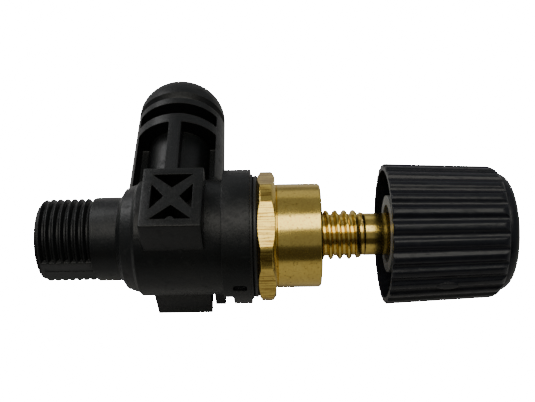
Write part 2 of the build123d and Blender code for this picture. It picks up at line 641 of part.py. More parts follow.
def knob_screw():
    """Cross-recessed screw that draws the knob onto the stem's square."""
    head_end = KNOB_SCREW_HEAD_START + KNOB_SCREW_HEAD_HEIGHT
    head = bar(KNOB_SCREW_HEAD_START, head_end, KNOB_SCREW_HEAD_RADIUS)
    head = fillet(head.edges().sort_by(Axis.X)[-1], KNOB_SCREW_HEAD_HEIGHT / 3)
    shank = bar(KNOB_SCREW_HEAD_START - KNOB_SCREW_LENGTH, KNOB_SCREW_HEAD_START, KNOB_SCREW_RADIUS)
    screw = head + shank
    recess_start = head_end - KNOB_SCREW_HEAD_HEIGHT / 2
    arm = KNOB_SCREW_HEAD_RADIUS * 0.6
    for turn in (0, 90):
        screw -= Rot(turn, 0, 0) * block((recess_start, -arm, -0.5), (head_end + 1, arm, 0.5))
    return screw


def knob_cap():
    """Domed cap pressed into the knob's end over the screw."""
    edge = CAP_SEAT + CAP_RIM_LENGTH
    crown = edge + CAP_CROWN
    round_radius = CAP_CROWN - CAP_CROWN_RISE
    flat_start = (edge + round_radius, CAP_RADIUS - round_radius)
    crown_radius = (flat_start[1] ** 2 + CAP_CROWN_RISE ** 2) / (2 * CAP_CROWN_RISE)
    outline = Polyline((CAP_SEAT, CAP_RADIUS - CAP_WALL), (CAP_SEAT, CAP_RADIUS), (edge, CAP_RADIUS))
    side = EllipticalCenterArc((edge, flat_start[1]), round_radius, round_radius, 0, arc_size=90)
    top = RadiusArc(flat_start, (crown, 0), crown_radius)
    inside = Polyline(
        (crown, 0), (crown - CAP_WALL, 0), (crown - CAP_WALL, flat_start[1]),
        (edge, CAP_RADIUS - CAP_WALL), (CAP_SEAT, CAP_RADIUS - CAP_WALL),
    )
    return revolve(make_face([outline, side, top, inside]), Axis.X)


# ---- every node of the assembly -----------------------------------------------------------------
PIECES = {
    "valve_body": valve_body(),
    "seat_insert": seat_insert(),
    "seat_o_ring": o_ring(SEAT_POCKET_START, SEAT_RING_SECTION, SEAT_POCKET_RADIUS),
    "bonnet": bonnet(),
    "bonnet_gasket": ring(FLANGE_END, GASKET_END, BONNET_THREAD_RADIUS + THREAD_CLEARANCE, GASKET_RADIUS),
    "bonnet_o_ring": o_ring(GASKET_END, BONNET_RING_SECTION, BONNET_RING_RADIUS),
    "stem_inner_o_ring": o_ring(INNER_GLAND_START, STEM_RING_SECTION, GLAND_RADIUS),
    "stem_backup_ring": backup_ring(),
    "stem_outer_o_ring": o_ring(OUTER_GLAND_START, STEM_RING_SECTION, GLAND_RADIUS),
    "plug_carrier": plug_carrier(),
    "plug_washer": plug_washer(),
    "plug_washer_plate": plug_washer_plate(),
    "plug_screw": plug_screw(),
    "swivel_clip": split_clip(
        SWIVEL_CLIP_START, SWIVEL_CLIP_START + SWIVEL_CLIP_THICKNESS,
        STEM_NECK_RADIUS + SLIP_CLEARANCE, SWIVEL_CLIP_RADIUS,
    ),
    "stem": stem(),
    "stem_stop_clip": split_clip(STOP_CLIP_START, STOP_CLIP_END, STOP_CLIP_GROOVE_RADIUS, STOP_CLIP_RADIUS),
    "knob_shell": knob_shell(),
    "knob_insert": knob_insert(),
    "star_lock_washer": star_lock_washer(),
    "knob_screw": knob_screw(),
    "knob_screw_washer": ring(
        INSERT_END, KNOB_SCREW_HEAD_START, KNOB_SCREW_RADIUS + SLIP_CLEARANCE, KNOB_SCREW_WASHER_RADIUS
    ),
    "knob_cap": knob_cap(),
}

os.makedirs("parts", exist_ok=True)
for name, shape in PIECES.items():
    shape.label = name
    export_step(shape, "parts/" + name + ".step")
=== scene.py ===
import math
import bpy
from mathutils import Matrix, Vector


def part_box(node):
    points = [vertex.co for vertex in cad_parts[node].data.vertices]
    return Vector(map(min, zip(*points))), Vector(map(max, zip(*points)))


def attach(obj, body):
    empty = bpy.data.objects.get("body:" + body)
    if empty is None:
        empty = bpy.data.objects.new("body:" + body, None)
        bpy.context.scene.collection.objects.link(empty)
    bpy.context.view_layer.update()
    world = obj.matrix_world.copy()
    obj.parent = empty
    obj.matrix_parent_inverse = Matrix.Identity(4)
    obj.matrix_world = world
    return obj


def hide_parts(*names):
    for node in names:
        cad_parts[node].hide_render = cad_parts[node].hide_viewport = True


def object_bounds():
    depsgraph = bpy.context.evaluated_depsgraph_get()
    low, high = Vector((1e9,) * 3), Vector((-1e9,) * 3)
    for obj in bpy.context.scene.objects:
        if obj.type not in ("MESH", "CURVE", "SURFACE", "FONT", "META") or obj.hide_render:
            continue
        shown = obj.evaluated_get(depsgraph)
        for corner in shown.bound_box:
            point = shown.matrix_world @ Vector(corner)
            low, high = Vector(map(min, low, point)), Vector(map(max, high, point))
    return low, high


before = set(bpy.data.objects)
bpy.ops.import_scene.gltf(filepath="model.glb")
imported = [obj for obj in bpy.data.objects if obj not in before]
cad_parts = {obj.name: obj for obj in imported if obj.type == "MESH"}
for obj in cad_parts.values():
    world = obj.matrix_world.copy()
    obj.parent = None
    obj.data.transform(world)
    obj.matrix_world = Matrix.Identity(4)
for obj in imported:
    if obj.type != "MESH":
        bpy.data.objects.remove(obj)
cad_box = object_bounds()

# ---- studio ---------------------------------------------------------------------------------
# The valve lies on its lower pad on a white table, seen from above its thumb side. A long soft
# box straight above draws one bright line along the turned metal.
MM = 0.001
CAMERA_PLACE = (59.0, -117.2, 157.0)
CAMERA_TILT = (37.29, 1.04, -0.59)
CAMERA_LENS, CAMERA_SHIFT = 51.4, 0.0515
VALVE_MIDDLE = 0.06
WARM_WHITE, AIR_COLOUR, AIR_STRENGTH = (1.0, 0.97, 0.88), (0.93, 0.96, 1.0, 1), 0.27
TABLE_GREY, CARD_BLACK = (0.42, 0.42, 0.42, 1), (0.06, 0.055, 0.05, 1)
WHITE_GLOW = 40.0             # strength of the plain white that the camera sees round the valve

camera_data = bpy.data.cameras.new("camera")
camera_data.lens = CAMERA_LENS
camera_data.shift_y = CAMERA_SHIFT
camera_data.clip_start = 10 * MM
camera = bpy.data.objects.new("camera", camera_data)
camera.location = [place * MM for place in CAMERA_PLACE]
camera.rotation_euler = [math.radians(turn) for turn in CAMERA_TILT]
bpy.context.collection.objects.link(camera)
bpy.context.scene.camera = camera


def softbox(name, place, aim, width, depth, power, colour=(1, 1, 1)):
    """Rectangular lamp at a place in mm, facing another place."""
    lamp_data = bpy.data.lights.new(name, "AREA")
    lamp_data.shape = "RECTANGLE"
    lamp_data.size = width * MM
    lamp_data.size_y = depth * MM
    lamp_data.energy = power
    lamp_data.color = colour
    lamp = bpy.data.objects.new(name, lamp_data)
    lamp.location = [c * MM for c in place]
    facing = Vector(aim) - Vector(place)
    lamp.rotation_euler = facing.to_track_quat("-Z", "Y").to_euler()
    bpy.context.collection.objects.link(lamp)


softbox("overhead_softbox", (70, -60, 430), (60, 0, 0), 620, 235, 1.75, WARM_WHITE)
softbox("window_softbox", (-260, 240, 260), (30, 10, 0), 260, 260, 1.1)
softbox("rear_softbox", (90, 330, 150), (60, 0, 0), 420, 160, 0.07)


def white_to_camera(tree, lit, white, output):
    """Let a thing light the valve as it is, and look plain white to the camera."""
    white.inputs["Strength"].default_value = WHITE_GLOW
    seen_directly = tree.nodes.new("ShaderNodeLightPath").outputs["Is Camera Ray"]
    either = tree.nodes.new("ShaderNodeMixShader")
    tree.links.new(seen_directly, either.inputs["Fac"])
    tree.links.new(lit.outputs[0], either.inputs[1])
    tree.links.new(white.outputs[0], either.inputs[2])
    tree.links.new(either.outputs[0], tree.nodes[output].inputs["Surface"])


def plain(name, colour, roughness):
    """Even matt material for the studio's own things."""
    material = bpy.data.materials.new(name)
    material.use_nodes = True
    shader = material.node_tree.nodes["Principled BSDF"]
    shader.inputs["Base Color"].default_value = colour
    shader.inputs["Roughness"].default_value = roughness
    return material


air = bpy.data.worlds.new("studio_air")
air.use_nodes = True
air_tree = air.node_tree
daylight = air_tree.nodes["Background"]
daylight.inputs["Color"].default_value = AIR_COLOUR
daylight.inputs["Strength"].default_value = AIR_STRENGTH
white_to_camera(air_tree, daylight, air_tree.nodes.new("ShaderNodeBackground"), "World Output")
bpy.context.scene.world = air

bpy.ops.object.select_all(action="DESELECT")
bpy.ops.mesh.primitive_plane_add(size=4, location=(VALVE_MIDDLE, 0, cad_box[0][2]))
table = bpy.context.object
table.name = "table"
table_white = plain("table_white", TABLE_GREY, 0.6)
table_tree = table_white.node_tree
white_to_camera(table_tree, table_tree.nodes["Principled BSDF"],
                table_tree.nodes.new("ShaderNodeEmission"), "Material Output")
table.data.materials.append(table_white)

# A black card in front, which the camera looks straight through, draws the brown band on metal.
bpy.ops.object.select_all(action="DESELECT")
bpy.ops.mesh.primitive_plane_add(
    size=1, location=(VALVE_MIDDLE, -0.40, 0.11), rotation=(math.radians(90), 0, 0))
card = bpy.context.object
card.name = "black_card"
card.scale = (1.1, 0.25, 1)
card.visible_camera = False
card.data.materials.append(plain("card_black", CARD_BLACK, 0.9))

# ---- moulded body ---------------------------------------------------------------------------
# One injection moulding in black glass-filled nylon: threaded inlet spigot, barrel, flange,
# cored outlet branch and two cored wrench pads. It was moulded in halves that parted at z = 0.
INLET_ROOT, INLET_CREST, INLET_PITCH = 9.4, 10.5, 1.814
INLET_THREAD_END, NECK_RADIUS = 13.9, 10.7
PARTING_FLAT, PARTING_HALF_WIDTH = 9.9, 3.5
SHOULDER = (20.5, 21.9, 25.1)
BARREL_RADIUS, FLANGE_RADIUS = 14.7, 17.15
FLANGE = (46.5, 53.3)
PAD_X, PAD_Y, PAD_TOP, PAD_FLOOR = (27.75, 42.35), (-11.0, 6.9), 19.2, 13.4
PAD_BORDER, PIP_RADIUS, PIP_SUNK = (2.35, 2.15), 1.0, 0.6
SIDE_POCKET, END_POCKET = (3.8, 3.1), (4.95, 4.2)    # half base and height
LUG = (43.3, -10.5, -15.9), (46.1, -4.5, 0)
BRANCH_X, BRANCH_FOOT, BRANCH_RADIUS, BRANCH_REACH = 33.2, 13.0, 12.3, 10.5
LONG_HOLLOW, SHORT_HOLLOW, RIB_HALF, WEB_HALF = (6, 29.6), (32.6, 36.7), 1.65, 1
NOSE_START, NOSE_HEIGHT, NOSE_GROOVE = 42.0, 10.45, (38.8, 41.3)
INLET_BORE, OUTLET_BORE, OUTLET_TUBE = 6.0, 5.5, 8.5
NOTCH_TURN, GATE_TURN = 214, 174
THREAD_FLANK, CHAMFER_FLANK = 27.5, 52
VIEW_SIDE = 126.7             # degrees about +X from +Y, where the thread's turns are counted
AWAY_SIDE = 240.0             # degrees about +X from +Y, out of view, where the grooves end


def alone(piece):
    """Select one piece and nothing else."""
    bpy.ops.object.select_all(action="DESELECT")
    piece.select_set(True)
    bpy.context.view_layer.objects.active = piece


def applied(piece, kind, **settings):
    """Add a modifier, set it and apply it at once."""
    alone(piece)
    modifier = piece.modifiers.new(kind.title(), kind)
    for setting, value in settings.items():
        setattr(modifier, setting, value)
    bpy.ops.object.modifier_apply(modifier=modifier.name)
    return piece


def combined(piece, operation, *tools):
    """Join, cut or trim a piece with others, which are used up."""
    for tool in tools:
        applied(piece, "BOOLEAN", operation=operation, object=tool, solver="EXACT")
        bpy.data.objects.remove(tool)
    return piece


def as_one(*pieces):
    """Put pieces that don't touch into one object."""
    alone(pieces[0])
    for piece in pieces:
        piece.select_set(True)
    bpy.ops.object.join()
    return bpy.context.object


def chain(name, points):
    """Line of points in mm, drawn by extruding one point from place to place."""
    bpy.ops.object.select_all(action="DESELECT")
    bpy.ops.mesh.primitive_plane_add(size=MM)
    piece = bpy.context.object
    piece.name = name
    bpy.ops.object.mode_set(mode="EDIT")
    bpy.ops.mesh.select_mode(type="VERT")
    bpy.ops.mesh.merge(type="CENTER")
    bpy.ops.transform.translate(value=Vector(points[0]) * MM)
    for here, there in zip(points, points[1:]):
        step = (Vector(there) - Vector(here)) * MM
        bpy.ops.mesh.extrude_vertices_move(TRANSFORM_OT_translate={"value": step})
    bpy.ops.mesh.select_all(action="SELECT")
    bpy.ops.mesh.remove_doubles(threshold=MM / 1000)
    return piece


def turned(name, outline, rounding=0.0, steps=96, about="X", centre=0.0):
    """Solid turned from half an outline of (place, radius) points in mm, its corners rounded."""
    if about == "X":
        points = [(place, 0, radius) for place, radius in outline]
    else:
        points = [(centre, place, radius) for place, radius in outline]
    piece = chain(name, points)
    if rounding:
        bpy.ops.object.mode_set(mode="OBJECT")
        for point in piece.data.vertices:
            point.select = point.co.z > MM / 1000
        bpy.ops.object.mode_set(mode="EDIT")
        bpy.ops.mesh.bevel(offset=rounding * MM, segments=3, affect="VERTICES", clamp_overlap=True)
        bpy.ops.mesh.select_all(action="SELECT")
    axis = (1, 0, 0) if about == "X" else (0, 1, 0)
    bpy.ops.mesh.spin(steps=steps, angle=2 * math.pi, center=(centre * MM, 0, 0), axis=axis)
    bpy.ops.mesh.select_all(action="SELECT")
    bpy.ops.mesh.remove_doubles(threshold=MM / 1000)
    bpy.ops.mesh.normals_make_consistent(inside=False)
    bpy.ops.object.mode_set(mode="OBJECT")
    return piece


def block(name, low, high, rounding=0.0):
    """Box between two corners in mm with softened edges."""
    bpy.ops.object.select_all(action="DESELECT")
    bpy.ops.mesh.primitive_cube_add(size=1)
    piece = bpy.context.object
    piece.name = name
    bpy.ops.object.mode_set(mode="EDIT")
    bpy.ops.transform.resize(value=[(b - a) * MM for a, b in zip(low, high)])
    bpy.ops.transform.translate(value=[(a + b) / 2 * MM for a, b in zip(low, high)])
    bpy.ops.object.mode_set(mode="OBJECT")
    if rounding:
        applied(piece, "BEVEL", width=rounding * MM, segments=3, limit_method="ANGLE")
    return piece


def closed_up(piece, smooth_below):
    """Merge the slivers that cuts leave, so the skin is closed, and smooth the gentle edges."""
    alone(piece)
    bpy.ops.object.mode_set(mode="EDIT")
    bpy.ops.mesh.select_mode(type="VERT")
    bpy.ops.mesh.select_all(action="SELECT")
    bpy.ops.mesh.quads_convert_to_tris()
    bpy.ops.mesh.remove_doubles(threshold=MM / 1000)
    bpy.ops.mesh.dissolve_degenerate(threshold=MM / 1000)
    bpy.ops.mesh.select_all(action="SELECT")
    bpy.ops.mesh.delete_loose(use_verts=True, use_edges=True, use_faces=False)
    bpy.ops.object.mode_set(mode="OBJECT")
    bpy.ops.object.shade_smooth_by_angle(angle=math.radians(smooth_below))


def turned_about_x(piece, degrees):
    """Turn a whole piece about the valve's axis, keeping its object unturned."""
    piece.matrix_world = Matrix.Rotation(math.radians(degrees), 4, "X")
    alone(piece)
    bpy.ops.object.transform_apply(location=True, rotation=True, scale=True)
    return piece


def thread_groove(name, end, turns, pitch, root, crest, root_flat, chamfer=0.0):
    """Cutter for a right-hand groove whose middle ends at a place on the side away from view."""
    side = math.radians(AWAY_SIDE)
    over = 0.25
    outer_flank = CHAMFER_FLANK if chamfer else THREAD_FLANK
    flank = root_flat / 2 + (crest - chamfer - root) * math.tan(math.radians(THREAD_FLANK))
    mouth = flank + (chamfer + over) * math.tan(math.radians(outer_flank))
    start = end - turns * pitch
    right = [(root_flat / 2, root), (flank, crest - chamfer), (mouth, crest + over)]
    left = [(-x, radius) for x, radius in reversed(right)]
    profile = right + left + right[:1]
    piece = chain(name, [(start + x, r * math.cos(side), r * math.sin(side)) for x, r in profile])
    bpy.ops.object.mode_set(mode="OBJECT")
    applied(piece, "SCREW", axis="X", angle=2 * math.pi, screw_offset=pitch * MM, iterations=turns,
            steps=64, render_steps=64, use_merge_vertices=False)
    alone(piece)
    bpy.ops.object.mode_set(mode="EDIT")
    bpy.ops.mesh.select_all(action="SELECT")
    bpy.ops.mesh.remove_doubles(threshold=MM / 1000)
    bpy.ops.mesh.fill_holes(sides=6)
    bpy.ops.mesh.select_all(action="SELECT")
    bpy.ops.mesh.normals_make_consistent(inside=False)
    bpy.ops.object.mode_set(mode="OBJECT")
    return piece


groove_end = INLET_THREAD_END - 0.74 + INLET_PITCH * (AWAY_SIDE - VIEW_SIDE) / 360
body = turned("moulded_body", [
    (0, 0), (0, INLET_ROOT - 0.2), (0.35, 9.9), (1.3, INLET_CREST), (INLET_THREAD_END, INLET_CREST),
    (INLET_THREAD_END + 0.1, NECK_RADIUS), (SHOULDER[0], NECK_RADIUS), (SHOULDER[1], 12.9),
    (SHOULDER[2] - 0.4, 13.9), (SHOULDER[2], 14.3), (SHOULDER[2] + 0.4, BARREL_RADIUS),
    (FLANGE[0], BARREL_RADIUS), (FLANGE[0], FLANGE_RADIUS), (FLANGE[1], FLANGE_RADIUS),
    (FLANGE[1], 0),
], rounding=0.3, steps=128)
combined(body, "DIFFERENCE", thread_groove(
    "inlet_groove", groove_end, 9, INLET_PITCH, INLET_ROOT, INLET_CREST, 0.42))
strips = as_one(
    block("far_strip", (-1, PARTING_FLAT, -9), (INLET_THREAD_END, 12, 9)),
    block("near_strip", (-1, -12, -9), (INLET_THREAD_END, -PARTING_FLAT, 9)))
combined(body, "DIFFERENCE", strips)
combined(body, "UNION", block(
    "strip_fill", (1.35, -PARTING_FLAT, -PARTING_HALF_WIDTH),
    (INLET_THREAD_END + 0.2, PARTING_FLAT, PARTING_HALF_WIDTH), rounding=0.25))
combined(body, "UNION", block("parting_line", (1.8, -10.0, -0.12), (INLET_THREAD_END, 10.0, 0.12)))

pads = block("pads", (PAD_X[0], PAD_Y[0], -PAD_TOP), (PAD_X[1], PAD_Y[1], PAD_TOP), rounding=0.35)
pad_middle = (sum(PAD_X) / 2, sum(PAD_Y) / 2)
window = (
    (PAD_X[1] - PAD_X[0]) / 2 - PAD_BORDER[0], (PAD_Y[1] - PAD_Y[0]) / 2 - PAD_BORDER[1])
pockets = []
for top, floor in ((PAD_TOP + 1, PAD_FLOOR), (-PAD_FLOOR, -PAD_TOP - 1)):
    for way in (-1, 1):
        half, height = SIDE_POCKET
        side, tip = way * window[0], way * (window[0] - height)
        pockets.append([(side, -half), (tip, 0), (side, half), (side, -half), top, floor])
        half, height = END_POCKET
        side, tip = way * window[1], way * (window[1] - height)
        pockets.append([(-half, side), (0, tip), (half, side), (-half, side), top, floor])
cutters = []
for *corners, top, floor in pockets:
    pocket = chain("pad_pocket", [
        (pad_middle[0] + x, pad_middle[1] + y, floor) for x, y in corners])
    bpy.ops.mesh.edge_face_add()
    bpy.ops.mesh.extrude_region_move(TRANSFORM_OT_translate={"value": (0, 0, (top - floor) * MM)})
    bpy.ops.mesh.select_all(action="SELECT")
    bpy.ops.mesh.normals_make_consistent(inside=False)
    bpy.ops.object.mode_set(mode="OBJECT")
    cutters.append(applied(pocket, "BEVEL", width=0.18 * MM, segments=2, limit_method="ANGLE"))
combined(pads, "DIFFERENCE", as_one(*cutters))
bpy.ops.object.select_all(action="DESELECT")
bpy.ops.mesh.primitive_cylinder_add(
    vertices=24, radius=PIP_RADIUS * MM, depth=2 * PAD_TOP * MM - PIP_SUNK * MM,
    location=(pad_middle[0] * MM, (pad_middle[1] - window[1]) * MM, 0))
pips = bpy.context.object
bpy.ops.object.transform_apply(location=True, rotation=False, scale=False)
combined(pads, "UNION", pips)
combined(body, "UNION", pads)
combined(body, "UNION", block("lug", *LUG, rounding=0.25))

branch = turned("outlet_branch", [
    (0, 0), (0, BRANCH_FOOT), (NOSE_START - 2.2, BRANCH_RADIUS + 0.04),
] + [
    (NOSE_START + NOSE_HEIGHT * math.sin(turn), BRANCH_RADIUS * math.cos(turn))
    for turn in [math.radians(degrees) for degrees in range(0, 91, 6)]
], steps=96, about="Y", centre=BRANCH_X)
low_x, high_x = BRANCH_X - BRANCH_REACH, BRANCH_X + BRANCH_REACH
hollows = []
for low_z, high_z in ((-15, -WEB_HALF), (WEB_HALF, 15)):
    for left, right in ((low_x, BRANCH_X - RIB_HALF), (BRANCH_X + RIB_HALF, high_x)):
        hollows.append(block(
            "long_hollow", (left, LONG_HOLLOW[0], low_z), (right, LONG_HOLLOW[1], high_z),
            rounding=0.35))
    hollows.append(block(
        "short_hollow", (low_x, SHORT_HOLLOW[0], low_z), (high_x, SHORT_HOLLOW[1], high_z),
        rounding=0.35))
combined(branch, "DIFFERENCE", as_one(*hollows))
groove_ring = turned("nose_groove", [
    (NOSE_GROOVE[0], BRANCH_RADIUS - 0.5), (39.3, BRANCH_RADIUS - 1.15),
    (40.0, BRANCH_RADIUS - 1.0), (NOSE_GROOVE[1], BRANCH_RADIUS + 0.2),
    (NOSE_GROOVE[1], BRANCH_RADIUS + 2), (NOSE_GROOVE[0], BRANCH_RADIUS + 2),
    (NOSE_GROOVE[0], BRANCH_RADIUS - 0.5),
], rounding=0.25, about="Y", centre=BRANCH_X)
combined(groove_ring, "DIFFERENCE", block("mould_web", (10, 35, -1), (60, 45, 1)))
combined(branch, "DIFFERENCE", groove_ring)
combined(branch, "UNION", turned(
    "outlet_tube", [(0, 0), (0, OUTLET_TUBE), (38.0, OUTLET_TUBE), (38.0, 0)],
    about="Y", centre=BRANCH_X))
combined(body, "UNION", branch)

bores = turned("stepped_bore", [
    (-1, 0), (-1, INLET_BORE + 0.6), (0, 6.4), (0.5, INLET_BORE), (23.5, INLET_BORE),
    (23.5, 8.5), (27.5, 8.5), (27.5, 10.2), (43.8, 10.2), (43.8, 12.1), (54, 12.1), (54, 0),
])
notch = turned_about_x(block(
    "key_notch", (FLANGE[0] - 0.01, 15.25, -8.5), (FLANGE[0] + 2.3, 19, 8.5),
    rounding=0.35), NOTCH_TURN)
gate = turned_about_x(block(
    "gate_recess", (48.9, FLANGE_RADIUS - 1.3, -1.0), (52.3, 19, 1.0), rounding=0.7), GATE_TURN)
combined(body, "DIFFERENCE", as_one(notch, gate))
combined(body, "DIFFERENCE", bores)
combined(body, "DIFFERENCE", turned(
    "outlet_bore", [(0, 0), (0, OUTLET_BORE), (60, OUTLET_BORE), (60, 0)],
    about="Y", centre=BRANCH_X))
closed_up(body, 32)


class Field:
    """A value that varies over a surface, on which ordinary arithmetic adds Math nodes."""

    def __init__(self, socket):
        self.socket = socket

    def maths(self, operation, first, second):
        tree = self.socket.id_data
        node = tree.nodes.new("ShaderNodeMath")
        node.operation = operation
        for term, socket in zip((first, second), node.inputs):
            if isinstance(term, Field):
                tree.links.new(term.socket, socket)
            else:
                socket.default_value = term
        return Field(node.outputs[0])

    def __add__(self, other):
        return self.maths("ADD", self, other)

    def __radd__(self, other):
        return self.maths("ADD", other, self)

    def __sub__(self, other):
        return self.maths("SUBTRACT", self, other)

    def __rsub__(self, other):
        return self.maths("SUBTRACT", other, self)

    def __mul__(self, other):
        return self.maths("MULTIPLY", self, other)

    def __rmul__(self, other):
        return self.maths("MULTIPLY", other, self)

    def __gt__(self, other):
        return self.maths("GREATER_THAN", self, other)


class Finish:
    """A procedural material built round one Principled shader."""

    def __init__(self, name, **constants):
        self.material = bpy.data.materials.new(name)
        self.material.use_nodes = True
        self.tree = self.material.node_tree
        self.shader = self.tree.nodes["Principled BSDF"]
        self.feed(**constants)

    def feed(self, **sockets):
        for socket, value in sockets.items():
            self.connect(value, self.shader.inputs[socket.replace("_", " ")])

    def connect(self, value, socket):
        if isinstance(value, Field):
            self.tree.links.new(value.socket, socket)
        else:
            socket.default_value = value

    def node(self, kind, settings, sockets, result=0):
        node = self.tree.nodes.new("ShaderNode" + kind)
        for setting, value in settings.items():
            setattr(node, setting, value)
        for socket, value in sockets.items():
            self.connect(value, node.inputs[socket])
        return Field(node.outputs[result])

    def place(self, stretch=(1, 1, 1)):
        """Place on the piece, stretched per axis; a larger stretch packs the pattern closer."""
        here = self.node("TexCoord", {}, {}, "Object")
        return self.node("Mapping", {}, {"Vector": here, "Scale": stretch})

    def noise(self, grain, detail=2.0, stretch=(1, 1, 1)):
        """Noise from 0 to 1 whose grain is given in mm."""
        return self.node("TexNoise", {}, {
            "Vector": self.place(stretch), "Scale": 1 / (grain * MM), "Detail": detail})

    def ramp(self, value, low, high, first=0.0, last=1.0):
        """Straight change from first to last as a value goes from low to high."""
        return self.node("MapRange", {}, {0: value, 1: low, 2: high, 3: first, 4: last})

    def blend(self, mask, first, last):
        """Mix of two colours."""
        return self.node("Mix", {"data_type": "RGBA"}, {0: mask, 6: first, 7: last}, 2)

    def rounded(self, radius):
        """Normal that takes a radius in mm off sharp edges."""
        return self.node("Bevel", {"samples": 6}, {"Radius": radius * MM})

    def edges(self, rounded):
        """Mask that is 1 on the edges which a rounded normal softens."""
        normal = self.node("NewGeometry", {}, {}, "Normal")
        agreement = self.node(
            "VectorMath", {"operation": "DOT_PRODUCT"}, {0: rounded, 1: normal}, "Value")
        return self.ramp(agreement, 0.985, 0.8)

    def relief(self, height, depth, normal=None):
        """Bump of a height field whose full swing is a depth in mm."""
        sockets = {"Strength": 1.0, "Distance": depth * MM, "Height": height}
        if normal:
            sockets["Normal"] = normal
        return self.node("Bump", {}, sockets)


NYLON_COOL, NYLON_WARM = (0.0024, 0.0029, 0.0034, 1), (0.0048, 0.0050, 0.0046, 1)
GLASS_GLINT, NYLON_WORN_LIT_EDGE = (0.014, 0.0135, 0.012, 1), (0.026, 0.027, 0.025, 1)
NYLON_DUST = (0.05, 0.05, 0.046, 1)

body_nylon = Finish("body_nylon", Specular_IOR_Level=0.24)
rounded = body_nylon.rounded(0.22)
edges = body_nylon.edges(rounded)
cloud = body_nylon.noise(6.0, 3.0)
speckle = body_nylon.noise(0.34, 2.0)
fibre = body_nylon.noise(0.16, 1.0, (1, 2.2, 1.4))
scuff = body_nylon.ramp(body_nylon.noise(2.4, 5.0, (1, 1.8, 1)), 0.56, 0.70)
# Pale glass-fibre specks in the colour: partly the fibres' own tone, partly a painted glint.
glint = body_nylon.ramp(speckle, 0.62, 0.74) * body_nylon.ramp(cloud, 0.46, 0.62)
dusty = body_nylon.ramp(body_nylon.noise(0.5, 3.0), 0.70, 0.76)
# Lighter edges: partly wear on the moulding's edges, partly a painted highlight along them.
edge_wear_and_highlight = edges * body_nylon.ramp(speckle, 0.3, 0.7)
black = body_nylon.blend(cloud, NYLON_COOL, NYLON_WARM)
black = body_nylon.blend(glint * 0.5, black, GLASS_GLINT)
black = body_nylon.blend(edge_wear_and_highlight * 0.35, black, NYLON_WORN_LIT_EDGE)
black = body_nylon.blend(dusty * 0.35, black, NYLON_DUST)
body_nylon.feed(
    Base_Color=black,
    Roughness=0.37 + scuff * 0.16 - glint * 0.12 + (fibre - 0.5) * 0.12,
    Normal=body_nylon.relief(
        fibre, 0.012, body_nylon.relief(speckle, 0.042, body_nylon.relief(cloud, 0.16, rounded))))
body.data.materials.append(body_nylon.material)
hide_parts("valve_body")
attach(body, "valve_housing")

# ---- seals ----------------------------------------------------------------------------------
# Nitrile O-rings and a flat gasket, moulded rubber with a satin skin, squeezed between the
# nylon and the brass, and one stiff white ring that backs up the inner stem seal.


def clad(finish, *nodes):
    """Give CAD nodes a finish in place of their plain one."""
    for node in nodes:
        for slot in bpy.data.objects[node].material_slots:
            slot.material = finish.material


seal_rubber = Finish("seal_rubber", Specular_IOR_Level=0.35)
grain = seal_rubber.noise(0.12, 3.0)
smear = seal_rubber.noise(3.0, 4.0)
seal_rubber.feed(
    Base_Color=seal_rubber.blend(smear, (0.006, 0.006, 0.006, 1), (0.016, 0.016, 0.015, 1)),
    Roughness=0.42 + (smear - 0.5) * 0.3,
    Normal=seal_rubber.relief(grain, 0.012))
clad(seal_rubber, "seat_o_ring", "bonnet_gasket", "bonnet_o_ring", "stem_inner_o_ring",
     "stem_outer_o_ring", "plug_washer")

white_ptfe = Finish("white_ptfe", Specular_IOR_Level=0.4, Subsurface_Weight=0.15)
skived = white_ptfe.noise(0.4, 3.0, (6, 1, 1))
white_ptfe.feed(
    Base_Color=white_ptfe.blend(skived, (0.80, 0.80, 0.77, 1), (0.88, 0.88, 0.86, 1)),
    Roughness=0.38 + skived * 0.2,
    Normal=white_ptfe.relief(skived, 0.01))
clad(white_ptfe, "stem_backup_ring")

# ---- brass bonnet ---------------------------------------------------------------------------
# Turned from hexagon bar and screwed into the flange. The flats keep the drawn bar's streaks
# and the collar the fine rings of the turning tool.
HEX_X, HEX_FLATS, HEX_CORNERS, HEX_TURN = (55.1, 59.5), 30.9, 16.5, 117.0
COLLAR_END, COLLAR_RADIUS, COLLAR_RELIEF = 70.8, 13.27, 0.12
SEAL_LAND, SEAL_GROOVE, STEM_BORE = 5.05, 7.05, 6.45
GOLD_DEEP, GOLD_PALE = (0.64, 0.445, 0.095, 1), (0.78, 0.585, 0.15, 1)
GOLD_MOTTLE, DRAWN_LINE = (0.48, 0.31, 0.06, 1), (0.30, 0.17, 0.03, 1)
BRASS_PIT, BRASS_EDGE = (0.07, 0.04, 0.01, 1), (0.92, 0.72, 0.32, 1)

bpy.ops.object.select_all(action="DESELECT")
bpy.ops.mesh.primitive_cylinder_add(
    vertices=6, radius=HEX_FLATS / 2 / math.cos(math.radians(30)) * MM,
    depth=(HEX_X[1] - HEX_X[0]) * MM)
hexagon = bpy.context.object
hexagon.name = "bonnet_with_hexagon"
hexagon.matrix_world = (
    Matrix.Translation((sum(HEX_X) / 2 * MM, 0, 0))
    @ Matrix.Rotation(math.radians(HEX_TURN - 30), 4, "X")
    @ Matrix.Rotation(math.radians(90), 4, "Y"))
alone(hexagon)
bpy.ops.object.transform_apply(location=True, rotation=True, scale=True)
combined(hexagon, "INTERSECT", turned("corner_turning", [
    (HEX_X[0], 0), (HEX_X[0], HEX_CORNERS - 1.1), (HEX_X[0] + 0.7, HEX_CORNERS),
    (HEX_X[1] - 0.9, HEX_CORNERS), (HEX_X[1], HEX_CORNERS - 1.3), (HEX_X[1], 0),
], rounding=0.12, steps=128))
